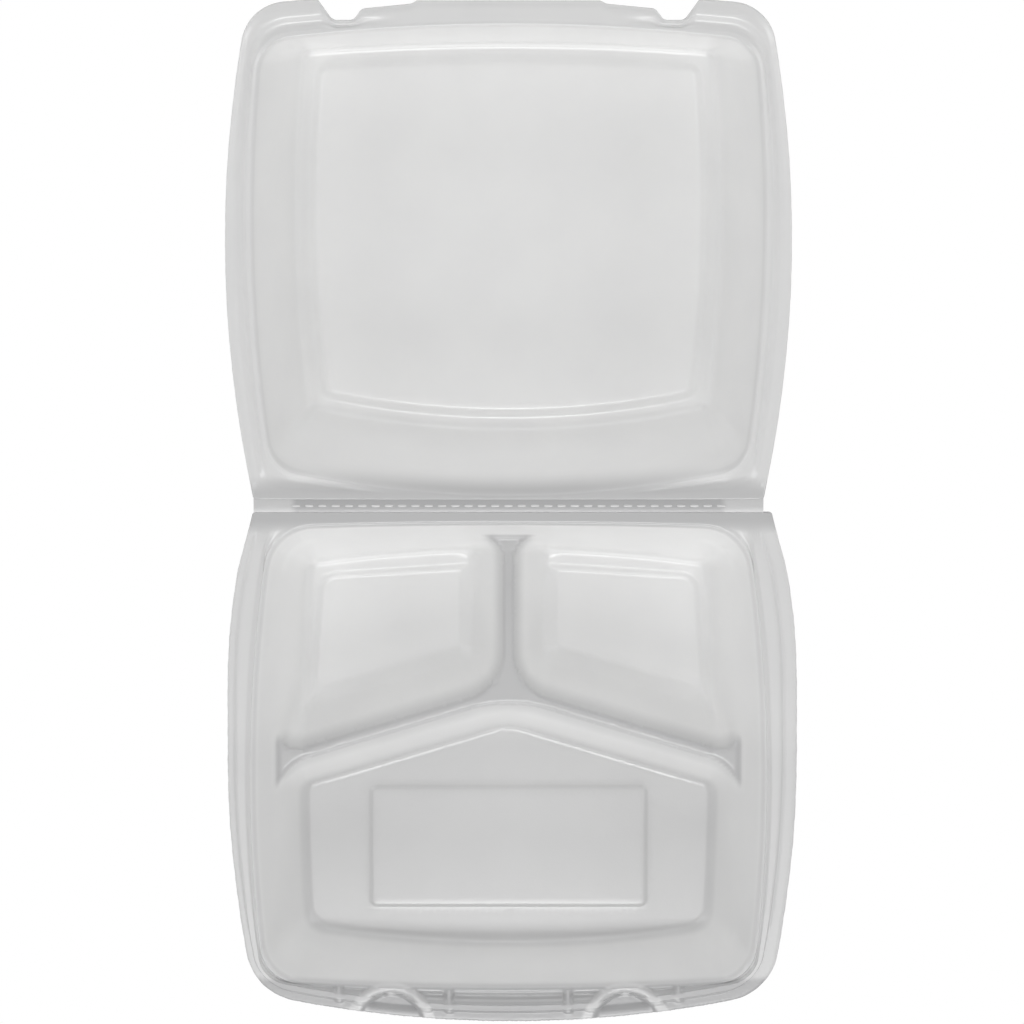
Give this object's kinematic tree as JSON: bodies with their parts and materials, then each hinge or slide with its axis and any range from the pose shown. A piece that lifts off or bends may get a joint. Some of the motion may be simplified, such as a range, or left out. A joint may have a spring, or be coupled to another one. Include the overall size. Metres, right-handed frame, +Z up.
{
  "type": "foam clamshell food container",
  "caption": "Hinged white foam take-away box, shown open: a base tray with sloping walls and dividers, and a dished lid on a pressed fold.",
  "frame": {"origin": "on the flat foot under the base tray, at mid width, 99 mm in front of the fold", "axes": "+Z up, +Y from the base tray over the fold to the open lid, +X to the right seen from the front of the base"},
  "size_m": [0.2128, 0.3858, 0.0421],
  "materials": {
    "foam": "matt white foamed polystyrene with a soft sheen"
  },
  "bodies": {
    "base": {"base_tray": "foam"},
    "lid": {"lid": "foam"}
  },
  "joints": [
    {"name": "lid_hinge", "type": "hinge", "parent": "base", "child": "lid", "pos_m": [0, 0.099, 0.0415], "axis": [1, 0, 0], "range_deg": [0, 180]}
  ]
}
